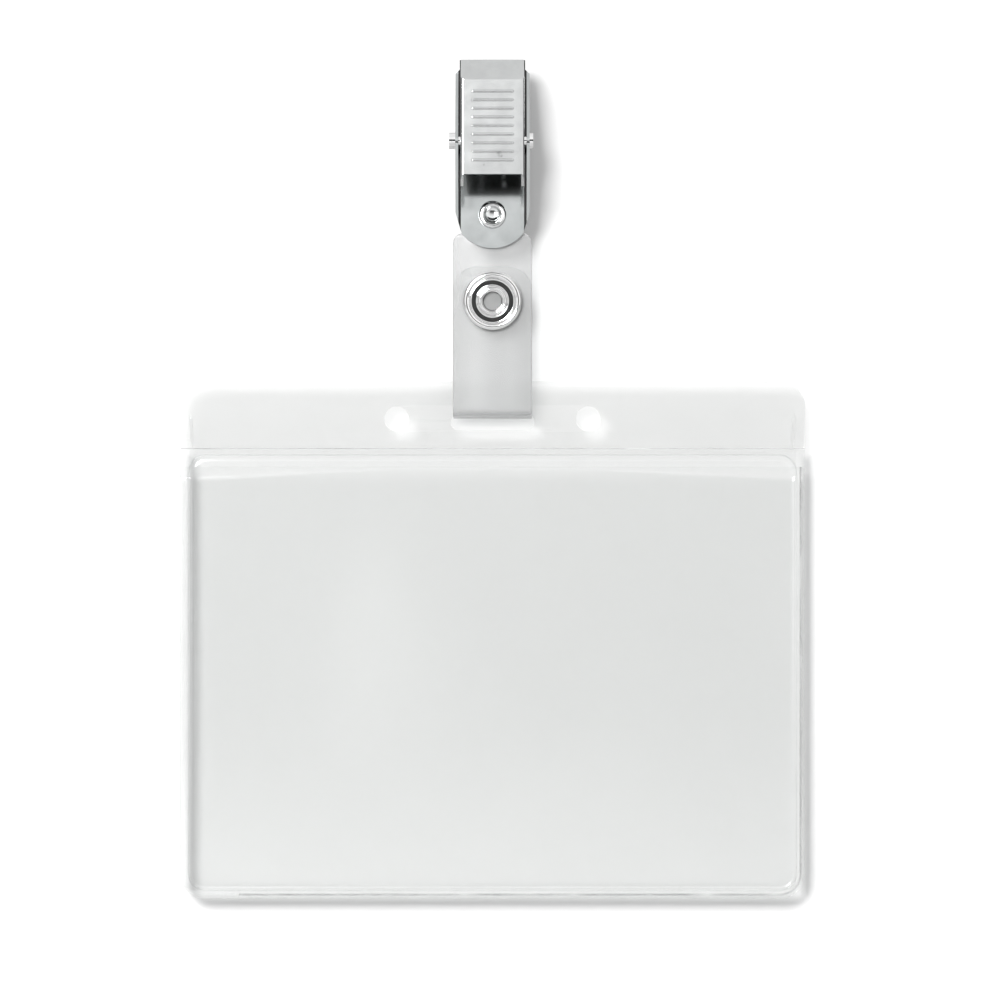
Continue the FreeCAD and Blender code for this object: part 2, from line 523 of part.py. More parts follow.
PARTS = {
    "clip_body": make_clip_body,
    "lever": make_lever,
    "pivot_pin": make_pivot_pin,
    "clip_spring": make_clip_spring,
    "clip_rivet": make_clip_rivet,
    "strap_neck": make_strap_neck,
    "strap_front": make_strap_front,
    "strap_tail": make_strap_tail,
    "snap_eyelet": make_snap_eyelet,
    "snap_stud": make_snap_stud,
    "snap_socket": make_snap_socket,
    "socket_spring": make_socket_spring,
    "snap_cap": make_snap_cap,
    "back_sheet": make_back_sheet,
    "header_strip": make_header_strip,
    "window_sheet": make_window_sheet,
}

os.makedirs("parts", exist_ok=True)
for name, make in PARTS.items():
    shape = make()
    if len(shape.Solids) == 1:
        shape = shape.Solids[0]
    shape.exportStep(f"parts/{name}.step")
    print(name, shape.ShapeType, shape.isValid(), round(shape.Volume, 2), shape.BoundBox)
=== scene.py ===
import json
import math
import bmesh
import bpy
from mathutils import Matrix, Vector


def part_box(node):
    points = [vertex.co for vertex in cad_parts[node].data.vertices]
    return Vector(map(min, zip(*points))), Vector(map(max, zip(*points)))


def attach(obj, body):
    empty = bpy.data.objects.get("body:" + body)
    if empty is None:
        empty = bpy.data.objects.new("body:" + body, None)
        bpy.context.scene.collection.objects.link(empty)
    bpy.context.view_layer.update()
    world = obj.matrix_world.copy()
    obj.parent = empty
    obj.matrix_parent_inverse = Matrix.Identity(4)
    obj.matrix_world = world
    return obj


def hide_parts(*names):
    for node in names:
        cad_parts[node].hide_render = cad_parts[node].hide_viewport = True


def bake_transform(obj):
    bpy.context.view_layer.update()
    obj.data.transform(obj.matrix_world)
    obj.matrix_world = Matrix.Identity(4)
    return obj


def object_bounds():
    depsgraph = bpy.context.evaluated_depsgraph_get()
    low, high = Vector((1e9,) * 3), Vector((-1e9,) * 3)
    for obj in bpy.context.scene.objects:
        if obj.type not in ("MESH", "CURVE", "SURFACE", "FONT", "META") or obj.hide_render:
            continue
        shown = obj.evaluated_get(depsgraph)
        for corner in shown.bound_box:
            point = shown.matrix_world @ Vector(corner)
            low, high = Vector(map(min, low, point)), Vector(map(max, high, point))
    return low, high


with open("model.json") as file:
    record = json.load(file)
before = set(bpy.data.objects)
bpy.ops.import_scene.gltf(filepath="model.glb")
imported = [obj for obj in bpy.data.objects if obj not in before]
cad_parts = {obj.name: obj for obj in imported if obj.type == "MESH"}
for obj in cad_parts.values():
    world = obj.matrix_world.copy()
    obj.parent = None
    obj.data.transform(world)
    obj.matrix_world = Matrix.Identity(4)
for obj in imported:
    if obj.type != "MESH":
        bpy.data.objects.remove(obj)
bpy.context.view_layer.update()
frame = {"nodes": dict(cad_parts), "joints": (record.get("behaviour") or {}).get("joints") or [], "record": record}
mm = 0.001
scene = bpy.context.scene

# places read from the frame
backLow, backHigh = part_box("back_sheet")
headerLow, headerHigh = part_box("header_strip")
windowLow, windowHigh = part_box("window_sheet")
neckLow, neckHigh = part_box("strap_neck")
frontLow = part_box("strap_front")[0]
tailLow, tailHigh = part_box("strap_tail")
joints = {joint["name"]: joint for joint in frame["joints"]}

weldPlane = headerHigh.y                       # where the front and rear sheets meet
sheetThick = headerHigh.y - headerLow.y
strapThick = neckHigh.y - neckLow.y
weldWidth = 1.5 * mm
strapMid = (neckLow.y + neckHigh.y) / 2
tailMid = (tailLow.y + tailHigh.y) / 2


def makeObject(name, verts, faces, smooth=True):
    mesh = bpy.data.meshes.new(name)
    mesh.from_pydata([tuple(v) for v in verts], [], faces)
    mesh.validate()
    mesh.update()
    piece = bpy.data.objects.new(name, mesh)
    scene.collection.objects.link(piece)
    if smooth:
        mesh.shade_smooth()
    return piece


def joinInto(piece, others):
    with bpy.context.temp_override(active_object=piece, selected_editable_objects=[piece] + others):
        bpy.ops.object.join()


# shader groups that several materials share
def newGroup(name, inputs, outputs):
    group = bpy.data.node_groups.new(name, "ShaderNodeTree")
    for label, value in inputs:
        socket = group.interface.new_socket(label, in_out="INPUT", socket_type="NodeSocketFloat")
        socket.default_value = value
    for label, kind in outputs:
        group.interface.new_socket(label, in_out="OUTPUT", socket_type=kind)
    return group, group.nodes.new("NodeGroupInput"), group.nodes.new("NodeGroupOutput")


def mathNode(tree, operation, first, second):
    node = tree.nodes.new("ShaderNodeMath")
    node.operation = operation
    for socket, value in zip(node.inputs, (first, second)):
        if isinstance(value, (int, float)):
            socket.default_value = value
        else:
            tree.links.new(value, socket)
    return node.outputs[0]


def noiseNode(tree, coords, scale, detail):
    node = tree.nodes.new("ShaderNodeTexNoise")
    node.inputs["Detail"].default_value = detail
    node.inputs["Roughness"].default_value = 0.55
    tree.links.new(scale, node.inputs["Scale"])
    tree.links.new(coords, node.inputs["Vector"])
    return node.outputs["Fac"]


def stretchedCoords(tree, stretch):
    coord = tree.nodes.new("ShaderNodeTexCoord")
    mapping = tree.nodes.new("ShaderNodeMapping")
    mapping.inputs["Scale"].default_value = stretch
    tree.links.new(coord.outputs["Object"], mapping.inputs["Vector"])
    return mapping.outputs["Vector"]


def makePolishGroup():
    # fine rolling lines, soft handling marks and their roughness, for the plated metal
    group, given, result = newGroup(
        "platedPolish",
        [("Line Scale", 900.0), ("Line Depth", 0.2), ("Mark Scale", 160.0), ("Roughness", 0.25),
         ("Spread", 0.1)],
        [("Roughness", "NodeSocketFloat"), ("Height", "NodeSocketFloat"), ("Tone", "NodeSocketFloat")])
    lines = noiseNode(group, stretchedCoords(group, (1.0, 1.0, 14.0)), given.outputs["Line Scale"], 3.0)
    marks = noiseNode(group, stretchedCoords(group, (1.0, 1.0, 1.0)), given.outputs["Mark Scale"], 4.0)
    spread = mathNode(group, "MULTIPLY", mathNode(group, "SUBTRACT", marks, 0.5), given.outputs["Spread"])
    group.links.new(mathNode(group, "ADD", given.outputs["Roughness"], spread), result.inputs["Roughness"])
    group.links.new(mathNode(group, "MULTIPLY", lines, given.outputs["Line Depth"]), result.inputs["Height"])
    group.links.new(marks, result.inputs["Tone"])
    return group


def makeFilmGroup():
    # slow waves and fine haze of calendered vinyl sheet
    group, given, result = newGroup(
        "vinylFilm",
        [("Wave Scale", 35.0), ("Haze Scale", 2500.0), ("Haze Depth", 0.1), ("Cloud", 0.05)],
        [("Height", "NodeSocketFloat"), ("Cloud", "NodeSocketFloat")])
    waves = noiseNode(group, stretchedCoords(group, (1.0, 1.0, 0.55)), given.outputs["Wave Scale"], 1.5)
    haze = noiseNode(group, stretchedCoords(group, (1.0, 1.0, 1.0)), given.outputs["Haze Scale"], 2.0)
    fine = mathNode(group, "MULTIPLY", haze, given.outputs["Haze Depth"])
    group.links.new(mathNode(group, "ADD", waves, fine), result.inputs["Height"])
    cloud = mathNode(group, "MULTIPLY", mathNode(group, "SUBTRACT", waves, 0.5), given.outputs["Cloud"])
    group.links.new(cloud, result.inputs["Cloud"])
    return group


polishGroup = makePolishGroup()
filmGroup = makeFilmGroup()


def newMaterial(name):
    material = bpy.data.materials.new(name)
    material.use_nodes = True
    material.node_tree.nodes.clear()
    output = material.node_tree.nodes.new("ShaderNodeOutputMaterial")
    shader = material.node_tree.nodes.new("ShaderNodeBsdfPrincipled")
    return material, material.node_tree, shader, output


def placeGroup(tree, group, values):
    node = tree.nodes.new("ShaderNodeGroup")
    node.node_tree = group
    for label, value in values.items():
        node.inputs[label].default_value = value
    return node


def addBump(tree, shader, height, strength, distance):
    bump = tree.nodes.new("ShaderNodeBump")
    bump.inputs["Strength"].default_value = strength
    bump.inputs["Distance"].default_value = distance
    tree.links.new(height, bump.inputs["Height"])
    tree.links.new(bump.outputs["Normal"], shader.inputs["Normal"])


def twoTone(tree, shader, factor, dark, light):
    # a factor near zero is painted shade, nearly black
    ramp = tree.nodes.new("ShaderNodeValToRGB")
    ramp.color_ramp.elements[0].position = 0.3
    ramp.color_ramp.elements[1].position = 0.7
    ramp.color_ramp.elements[0].color = (*dark, 1)
    ramp.color_ramp.elements[1].color = (*light, 1)
    ramp.color_ramp.elements.new(0.05).color = (0.05, 0.05, 0.05, 1)
    tree.links.new(factor, ramp.inputs["Fac"])
    tree.links.new(ramp.outputs["Color"], shader.inputs["Base Color"])


def makePlated(name, settings):
    material, tree, shader, output = newMaterial(name)
    shader.inputs["Metallic"].default_value = 1.0
    polish = placeGroup(tree, polishGroup, settings["polish"])
    tree.links.new(polish.outputs["Roughness"], shader.inputs["Roughness"])
    height = mathNode(tree, "MULTIPLY", polish.outputs["Height"], settings["bump"] * 0.02 * mm)
    tone = polish.outputs["Tone"]
    coord = tree.nodes.new("ShaderNodeTexCoord")
    split = tree.nodes.new("ShaderNodeSeparateXYZ")
    tree.links.new(coord.outputs["Object"], split.inputs[0])
    if "bow" in settings:
        # the pressing is bowed a little, so its flat faces mirror what is higher up
        slope = mathNode(tree, "MULTIPLY", split.outputs["Z"], settings["bow"])
        height = mathNode(tree, "ADD", height, slope)
    if "seamShade" in settings:
        # painted shade: the plating is painted black in the recess between the lever's and the body's sides
        aside = mathNode(tree, "ABSOLUTE", split.outputs["X"], 0.0)
        inner = mathNode(tree, "GREATER_THAN", aside, settings["seamShade"][0])
        seamShade = mathNode(tree, "MULTIPLY", inner, mathNode(tree, "LESS_THAN", aside, settings["seamShade"][1]))
        tone = mathNode(tree, "SUBTRACT", tone, seamShade)
    twoTone(tree, shader, tone, settings["dark"], settings["light"])
    addBump(tree, shader, height, 1.0, 1.0)
    tree.links.new(shader.outputs["BSDF"], output.inputs["Surface"])
    return material


rolledLines = {
    "Line Scale": 1200.0, "Line Depth": 0.5, "Mark Scale": 420.0, "Roughness": 0.13, "Spread": 0.06}
polishedMarks = {
    "Line Scale": 1500.0, "Line Depth": 0.3, "Mark Scale": 700.0, "Roughness": 0.08, "Spread": 0.08}
coiledWire = {
    "Line Scale": 1800.0, "Line Depth": 0.6, "Mark Scale": 900.0, "Roughness": 0.28, "Spread": 0.12}
leverNickel = makePlated("leverNickel", {
    "dark": (0.55, 0.56, 0.56), "light": (0.6, 0.61, 0.61), "bump": 0.15, "polish": rolledLines})
# painted shade: the body's plating is black in a band where its ears meet the lever's sides
bodyNickel = makePlated("bodyNickel", {
    "dark": (0.45, 0.47, 0.47), "light": (0.5, 0.52, 0.52), "bump": 0.15, "bow": -0.16, "polish": rolledLines,
    "seamShade": (5.3 * mm, 5.72 * mm)})
brightNickel = makePlated("brightNickel", {
    "dark": (0.76, 0.76, 0.76), "light": (0.84, 0.84, 0.84), "bump": 0.025, "polish": polishedMarks})
rivetNickel = makePlated("rivetNickel", {
    "dark": (0.66, 0.67, 0.67), "light": (0.74, 0.75, 0.75), "bump": 0.08, "bow": -0.16,
    "polish": polishedMarks})
springSteel = makePlated("springSteel", {
    "dark": (0.34, 0.34, 0.35), "light": (0.48, 0.48, 0.49), "bump": 0.2, "polish": coiledWire})


skinEdge = 0.7         # how much of the film's skin mirrors edge on
grazingPower = 4.0


def makeVinyl(name, settings):
    # a clear film: mostly let through, with a little milky haze, a glossy skin and a greyer shadow
    material, tree, haze, output = newMaterial(name)
    film = placeGroup(tree, filmGroup, settings["film"])
    haze.inputs["Base Color"].default_value = (*settings["colour"], 1)
    haze.inputs["Roughness"].default_value = 0.5
    haze.inputs["IOR"].default_value = 1.53
    skin = tree.nodes.new("ShaderNodeBsdfPrincipled")
    skin.inputs["Base Color"].default_value = (1, 1, 1, 1)
    skin.inputs["Metallic"].default_value = 1.0
    skin.inputs["Roughness"].default_value = settings["gloss"]
    for shader in (haze, skin):
        addBump(tree, shader, film.outputs["Height"], settings["bump"], settings["bumpDepth"])
    clear = tree.nodes.new("ShaderNodeBsdfTransparent")
    clear.inputs["Color"].default_value = (*settings["tint"], 1)
    shade = tree.nodes.new("ShaderNodeBsdfTransparent")
    shade.inputs["Color"].default_value = (*settings["shadow"], 1)
    edge = tree.nodes.new("ShaderNodeLayerWeight")
    edge.inputs["Blend"].default_value = 0.5
    grazing = mathNode(tree, "POWER", edge.outputs["Facing"], grazingPower)
    opacity = mathNode(tree, "ADD", film.outputs["Cloud"], settings["opacity"])
    steps = [(mathNode(tree, "ADD", opacity, mathNode(tree, "MULTIPLY", grazing, settings["rim"])), haze),
             (mathNode(tree, "ADD", mathNode(tree, "MULTIPLY", grazing, skinEdge), settings["mirror"]), skin)]
    surface = clear.outputs["BSDF"]
    for factor, shader in steps:
        mix = tree.nodes.new("ShaderNodeMixShader")
        tree.links.new(factor, mix.inputs["Fac"])
        tree.links.new(surface, mix.inputs[1])
        tree.links.new(shader.outputs["BSDF"], mix.inputs[2])
        surface = mix.outputs["Shader"]
    path = tree.nodes.new("ShaderNodeLightPath")
    lamps = tree.nodes.new("ShaderNodeMixShader")
    tree.links.new(path.outputs["Is Shadow Ray"], lamps.inputs["Fac"])
    tree.links.new(surface, lamps.inputs[1])
    tree.links.new(shade.outputs["BSDF"], lamps.inputs[2])
    tree.links.new(lamps.outputs["Shader"], output.inputs["Surface"])
    return material


# tints act at each face of a sheet, so twice in all
clearFilm = {"Wave Scale": 30.0, "Haze Scale": 900.0, "Haze Depth": 0.0, "Cloud": 0.02}
windowVinyl = makeVinyl("windowVinyl", {
    "colour": (0.4, 0.401, 0.4), "tint": (0.985, 0.986, 0.985), "shadow": (0.93, 0.933, 0.931),
    "opacity": 0.03, "rim": 0.3, "mirror": 0.03, "gloss": 0.12, "bump": 0.2, "bumpDepth": 0.6 * mm,
    "film": clearFilm})
rearVinyl = makeVinyl("rearVinyl", {
    "colour": (0.4, 0.401, 0.4), "tint": (0.957, 0.959, 0.958), "shadow": (0.9, 0.903, 0.901),
    "opacity": 0.03, "rim": 0.3, "mirror": 0.02, "gloss": 0.12, "bump": 0.2, "bumpDepth": 0.6 * mm,
    "film": clearFilm})
headerVinyl = makeVinyl("headerVinyl", {
    "colour": (0.47, 0.471, 0.47), "tint": (0.98, 0.981, 0.98), "shadow": (0.91, 0.912, 0.911),
    "opacity": 0.04, "rim": 0.3, "mirror": 0.02, "gloss": 0.12, "bump": 0.2, "bumpDepth": 0.6 * mm,
    "film": clearFilm})
weldVinyl = makeVinyl("weldVinyl", {
    "colour": (0.48, 0.481, 0.48), "tint": (0.99, 0.992, 0.991), "shadow": (0.5, 0.51, 0.51),
    "opacity": 0.03, "rim": 0.4, "mirror": 0.04, "gloss": 0.1, "bump": 0.1, "bumpDepth": 0.3 * mm,
    "film": clearFilm})
strapVinyl = makeVinyl("strapVinyl", {
    "colour": (0.345, 0.348, 0.347), "tint": (0.95, 0.952, 0.952), "shadow": (0.9, 0.905, 0.905),
    "opacity": 0.42, "rim": 0.3, "mirror": 0.02, "gloss": 0.3, "bump": 0.2, "bumpDepth": 0.05 * mm,
    "film": {"Wave Scale": 90.0, "Haze Scale": 1500.0, "Haze Depth": 0.06, "Cloud": 0.05}})
# a darker, more opaque vinyl for edges: partly a cut sheet edge, partly painted shade on edges turned from the
# light
cutEdgeShade = makeVinyl("cutEdgeShade", {
    "colour": (0.24, 0.24, 0.24), "tint": (0.95, 0.95, 0.95), "shadow": (0.85, 0.85, 0.85),
    "opacity": 0.24, "rim": 0.2, "mirror": 0.02, "gloss": 0.2, "bump": 0.2, "bumpDepth": 0.2 * mm,
    "film": {"Wave Scale": 160.0, "Haze Scale": 900.0, "Haze Depth": 0.0, "Cloud": 0.9}})


def setMaterial(piece, material, other=None, pick=None):
    # pick says which faces, by their middle, take the other material
    piece.data.materials.clear()
    piece.data.materials.append(material)
    if other:
        piece.data.materials.append(other)
        for face in piece.data.polygons:
            face.material_index = int(pick(face.center))


def inWeld(point):
    # the welded border down both sides and along the bottom
    side = abs(point.x) > backHigh.x - weldWidth
    return point.z < backLow.z + weldWidth or (side and point.z < headerLow.z)


nodeMaterials = {
    "clip_body": bodyNickel, "lever": leverNickel, "pivot_pin": brightNickel,
    "snap_stud": brightNickel, "snap_socket": brightNickel,
    "socket_spring": springSteel, "snap_cap": brightNickel}
for nodeName, nodeMaterial in nodeMaterials.items():
    setMaterial(frame["nodes"][nodeName], nodeMaterial)
print("materials ready")


# flat outlines with holes, for the punched and welded sheets
def arcPoints(cx, cz, radius, start, stop, count):
    angles = [math.radians(start + (stop - start) * i / count) for i in range(count + 1)]
    return [(cx + radius * math.cos(angle), cz + radius * math.sin(angle)) for angle in angles]


def roundedLoop(x0, x1, z0, z1, bottomRadius, topRadius, count=10):
    corners = [(x1, z0, bottomRadius, -90, 0), (x1, z1, topRadius, 0, 90),
               (x0, z1, topRadius, 90, 180), (x0, z0, bottomRadius, 180, 270)]
    loop = []
    for x, z, radius, start, stop in corners:
        if radius == 0:
            loop.append((x, z))
            continue
        cx = x - math.copysign(radius, x - (x0 + x1) / 2)
        cz = z - math.copysign(radius, z - (z0 + z1) / 2)
        loop += arcPoints(cx, cz, radius, start, stop, count)
    return loop


def slotLoop(cx, cz, length, height, count=12):
    reach = (length - height) / 2
    return (arcPoints(cx + reach, cz, height / 2, -90, 90, count)
            + arcPoints(cx - reach, cz, height / 2, 90, 270, count))


def punchedPlate(name, loops, yFront, yBack, edgeRadius):
    curve = bpy.data.curves.new(name, "CURVE")
    curve.dimensions = "2D"
    curve.fill_mode = "BOTH"
    curve.extrude = (yBack - yFront) / 2 - edgeRadius
    curve.bevel_depth = edgeRadius
    curve.bevel_resolution = 2
    curve.offset = -edgeRadius
    for loop in loops:
        spline = curve.splines.new("POLY")
        spline.points.add(len(loop) - 1)
        for point, (x, z) in zip(spline.points, loop):
            point.co = (x, z, 0, 1)
        spline.use_cyclic_u = True
    holder = bpy.data.objects.new(name, curve)
    scene.collection.objects.link(holder)
    mesh = bpy.data.meshes.new_from_object(holder.evaluated_get(bpy.context.evaluated_depsgraph_get()))
    bpy.data.objects.remove(holder)
    turn = Matrix(((1, 0, 0, 0), (0, 0, -1, (yFront + yBack) / 2), (0, 1, 0, 0), (0, 0, 0, 1)))
    mesh.transform(turn)
    mesh.shade_smooth()
    piece = bpy.data.objects.new(name, mesh)
    scene.collection.objects.link(piece)
    return piece


holeSpacing = frame["record"]["mounts"][1]["dims"]["spacing_x_mm"] * mm
header = {
    "cornerRadius": 4.2 * mm, "edgeRadius": 0.13 * mm,
    "slotLength": 14.1 * mm, "slotHeight": 2.7 * mm, "slotDrop": 5.5 * mm,
    "holeRadius": 2.1 * mm, "holeDrop": 6.3 * mm,
    "weldInset": 1.75 * mm, "weldRadius": 0.26 * mm, "weldTopDrop": 5.4 * mm,
    "weldFoot": 0.3 * mm, "weldLean": 0.35 * mm, "edgeShadeReach": 0.15 * mm}


def headerHoles():
    slotMid = backHigh.z - header["slotDrop"] - header["slotHeight"] / 2
    loops = [slotLoop(0, slotMid, header["slotLength"], header["slotHeight"])]
    for side in (-1, 1):
        centre = side * holeSpacing / 2
        loops.append(arcPoints(centre, backHigh.z - header["holeDrop"], header["holeRadius"], 0, 345, 23))
    return loops


def bead(name, points, radius, squash, y):
    # a low half-round weld ridge along (x, z) points, sunk into the sheet
    verts, faces, ringCount = [], [], 8
    for index, (x, z) in enumerate(points):
        before = points[max(index - 1, 0)]
        after = points[min(index + 1, len(points) - 1)]
        along = Vector((after[0] - before[0], after[1] - before[1])).normalized()
        taper = min(1.0, 0.15 + min(index, len(points) - 1 - index) / 3)
        for step in range(ringCount):
            angle = 2 * math.pi * step / ringCount
            across = radius * taper * math.cos(angle)
            rise = radius * taper * squash * math.sin(angle)
            verts.append((x - along.y * across, y - rise, z + along.x * across))
    for index in range(len(points) - 1):
        for step in range(ringCount):
            a, b = index * ringCount + step, index * ringCount + (step + 1) % ringCount
            faces.append((a, b, b + ringCount, a + ringCount))
    faces.append(tuple(range(ringCount))[::-1])
    faces.append(tuple(range(len(verts) - ringCount, len(verts))))
    return makeObject(name, verts, faces)


def evenPoints(start, stop, count):
    return [(start[0] + (stop[0] - start[0]) * i / count, start[1] + (stop[1] - start[1]) * i / count)
            for i in range(count + 1)]


def makeHeader():
    outline = roundedLoop(headerLow.x, headerHigh.x, headerLow.z, headerHigh.z, 0, header["cornerRadius"])
    loops = [outline] + headerHoles()
    piece = punchedPlate("headerSheet", loops, headerLow.y, headerHigh.y, header["edgeRadius"])
    top, low = headerHigh.z - header["weldTopDrop"], headerLow.z + header["weldFoot"]
    beads = []
    for side in (-1, 1):
        x = side * (headerHigh.x - header["weldInset"])
        lean = side * header["weldLean"]
        points = evenPoints((x - lean, low), (x, top), 14)
        beads.append(bead("headerWeld", points, header["weldRadius"], 0.7, headerLow.y))
    joinInto(piece, beads)
    # the header's lower edge takes the darker edge vinyl: its cut edge with painted shade along it
    setMaterial(piece, headerVinyl, cutEdgeShade, lambda point: point.z < headerLow.z + header["edgeShadeReach"])
    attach(piece, "holder")
    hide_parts("header_strip")


makeHeader()
print("header ready")


# the pocket's front is nested outlines, each at its own height
pocket = {
    "outerRadius": 4.2 * mm, "turnInset": 1.9 * mm, "columns": 34, "rows": 26, "cornerSteps": 9,
    "shadeLineInset": 0.95 * mm, "shadeLineWidth": 0.35 * mm, "shadeLineRadius": 3.25 * mm,
    "puff": 0.22 * mm, "sway": 0.06 * mm, "puffFrom": 2.3 * mm, "puffReach": 6 * mm,
    "crownSteps": (6, 10, 15, 20, 25, 30, 35, 40, 45, 49, 51.6)}
# distance in from the edge, and height in front of the weld plane as shares of sheet and bulge
rimSteps = [(0.0, 0.35), (0.04, 0.8), (0.14, 1.0), (0.55, 1.0), (0.7, 0.9), (0.9, 1.0), (1.1, 1.03),
            (1.3, 1.35), (1.5, 1.78), (1.68, 1.95), (1.86, 1.88), (2.05, 1.66), (2.3, 1.6), (3.2, 1.62)]
crownShare = 1.62


def shadedWeldLine(point):
    # the weld's inner edge, painted as a dark line down the right side and along the bottom, where it is turned
    # from the light: painted shade
    radius = pocket["shadeLineRadius"]
    low, high = backLow.z + pocket["shadeLineInset"], backHigh.x - pocket["shadeLineInset"]
    if point.x > high - radius and point.z < low + radius:
        offset = radius - math.hypot(point.x - high + radius, point.z - low - radius)
    else:
        offset = min(high - point.x, point.z - low)
    return -pocket["shadeLineWidth"] < offset < 0 and point.x > -0.8 * high


def cornerRadiusAt(inset):
    # the corners follow the edge at first, then open out towards the middle
    if inset < pocket["turnInset"]:
        return pocket["outerRadius"] - inset
    return pocket["outerRadius"] - pocket["turnInset"] + 0.5 * (inset - pocket["turnInset"])


def openLoop(inset, low, high):
    # left side down, across the bottom and up the right side
    x1, z0 = high.x - inset, low.z + inset
    radius = min(cornerRadiusAt(inset), x1 * 0.98)
    rows, columns, steps = pocket["rows"], pocket["columns"], pocket["cornerSteps"]
    points = evenPoints((-x1, high.z), (-x1, z0 + radius), rows)[:-1]
    points += arcPoints(-x1 + radius, z0 + radius, radius, 180, 270, steps)
    points += evenPoints((-x1 + radius, z0), (x1 - radius, z0), columns)[1:-1]
    points += arcPoints(x1 - radius, z0 + radius, radius, -90, 0, steps)
    points += evenPoints((x1, z0 + radius), (x1, high.z), rows)[1:]
    return points


def panelRise(x, z, low, high):
    # a soft crown with a slow wave, zero at the welds
    across = math.cos(math.pi * x / (high.x - low.x))
    down = math.sin(math.pi * min(1.0, (z - low.z) / (high.z - low.z) * 0.72))
    wave = math.sin(x * 95 + 0.8) * math.cos(z * 60 + 1.1)
    return pocket["puff"] * across ** 0.8 * down + pocket["sway"] * wave * across * down


def makeWindow():
    low, high = windowLow, windowHigh
    stations = [(inset * mm, rise) for inset, rise in rimSteps]
    stations += [(inset * mm, crownShare) for inset in pocket["crownSteps"]]
    verts, faces = [], []
    frontRings = []
    for inset, rise in stations:
        ring = []
        for x, z in openLoop(inset, low, high):
            y = weldPlane - rise * sheetThick
            if inset > pocket["puffFrom"]:
                y -= panelRise(x, z, low, high) * min(1.0, (inset - pocket["puffFrom"]) / pocket["puffReach"])
            ring.append(len(verts))
            verts.append((x, y, z))
        frontRings.append(ring)
    rearRings = []
    for inset, rise in stations:
        ring = []
        for index, (x, z) in enumerate(openLoop(inset, low, high)):
            front = verts[frontRings[len(rearRings)][index]][1]
            y = weldPlane if inset < weldWidth else front + sheetThick
            ring.append(len(verts))
            verts.append((x, min(y, weldPlane), z))
        rearRings.append(ring)
    count = len(frontRings[0])
    for rings, flip in ((frontRings, False), (rearRings, True)):
        for outer, nested in zip(rings, rings[1:]):
            for i in range(count - 1):
                face = (outer[i], outer[i + 1], nested[i + 1], nested[i])
                faces.append(face[::-1] if flip else face)
        last = rings[-1]
        for i in range(count // 2):
            face = (last[i], last[i + 1], last[count - 2 - i], last[count - 1 - i])
            if len(set(face)) == 4:
                faces.append(face[::-1] if flip else face)
    for i in range(count - 1):
        faces.append((rearRings[0][i], rearRings[0][i + 1], frontRings[0][i + 1], frontRings[0][i]))
    for end in (0, -1):
        for j in range(len(stations) - 1):
            face = (frontRings[j][end], frontRings[j + 1][end], rearRings[j + 1][end], rearRings[j][end])
            faces.append(face if end == 0 else face[::-1])
    piece = makeObject("windowSheet", verts, faces)
    finishSheet(piece)
    setMaterial(piece, windowVinyl, weldVinyl, inWeld)
    # the darker edge vinyl marks the shaded weld line: painted shade
    piece.data.materials.append(cutEdgeShade)
    for face in piece.data.polygons:
        if shadedWeldLine(face.center):
            face.material_index = 2
    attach(piece, "holder")
    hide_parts("window_sheet")


def finishSheet(piece):
    # weld doubled points and point every face outwards
    work = bmesh.new()
    work.from_mesh(piece.data)
    bmesh.ops.remove_doubles(work, verts=work.verts, dist=0.001 * mm)
    bmesh.ops.recalc_face_normals(work, faces=work.faces)
    work.to_mesh(piece.data)
    work.free()


makeWindow()
print("window ready")


# steps give distance in from the panel's edge in millimetres, and share of its rise
rearPanel = {
    "inset": 1.3 * mm, "radius": 2.9 * mm, "topGap": 0.9 * mm, "rise": 0.3 * mm, "puff": 0.12 * mm,
    "overlap": 0.2 * mm, "cornerSteps": 8, "leastRadius": 0.6 * mm, "openFrom": 2.2, "opening": 0.3,
    "puffReach": 6, "steps": [
        (0.0, 0.0), (0.25, 0.15), (0.45, 0.85), (0.62, 1.3), (0.8, 1.35), (1.0, 1.1), (1.3, 1.0), (2.2, 1.0),
        (5.0, 1.0), (9.0, 1.0), (14.0, 1.0), (19.0, 1.0), (24.0, 1.0), (29.0, 1.0), (33.5, 1.0)]}


def closedLoop(inset, x1, z0, z1, radius):
    return roundedLoop(-x1 + inset, x1 - inset, z0 + inset, z1 - inset, radius, radius,
                       rearPanel["cornerSteps"])


def cutAt(piece, place, normal):
    # new edges along a plane, so that each material ends on a clean line
    work = bmesh.new()
    work.from_mesh(piece.data)
    everything = work.verts[:] + work.edges[:] + work.faces[:]
    bmesh.ops.bisect_plane(work, geom=everything, plane_co=place, plane_no=normal, dist=0.0001 * mm)
    work.to_mesh(piece.data)
    work.free()


